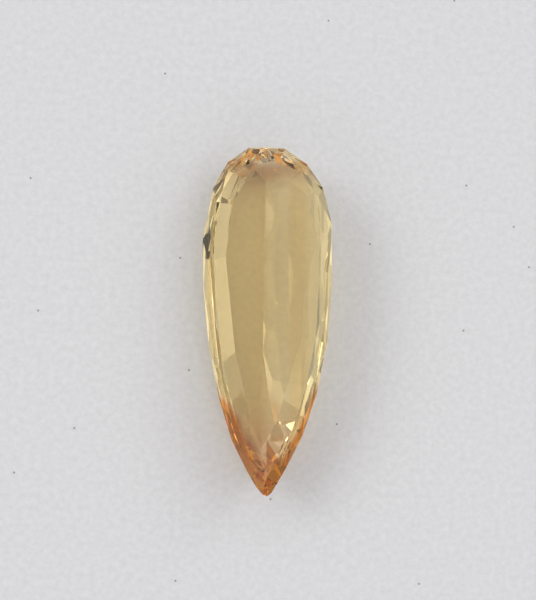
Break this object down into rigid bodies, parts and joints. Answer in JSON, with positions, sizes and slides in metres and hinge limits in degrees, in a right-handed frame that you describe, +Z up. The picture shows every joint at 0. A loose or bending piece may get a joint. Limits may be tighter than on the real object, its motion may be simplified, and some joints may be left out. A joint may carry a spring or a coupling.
{
  "type": "cut gemstone",
  "caption": "Elongated drop-shaped faceted gemstone with a large flat table, a narrow crown and a keeled underside, in clear yellow to orange crystal.",
  "frame": {"origin": "on the surface that the stone rests on, under the middle of its bounding box", "axes": "+Z up, +Y along the stone towards its round head, +X to the right as seen from above with the head away from the viewer"},
  "size_m": [0.008, 0.022, 0.005],
  "materials": {
    "crystal": "polished facets, clear yellow crystal turning orange at the tip"
  },
  "bodies": {
    "root": {"topaz": "crystal"}
  },
  "joints": []
}
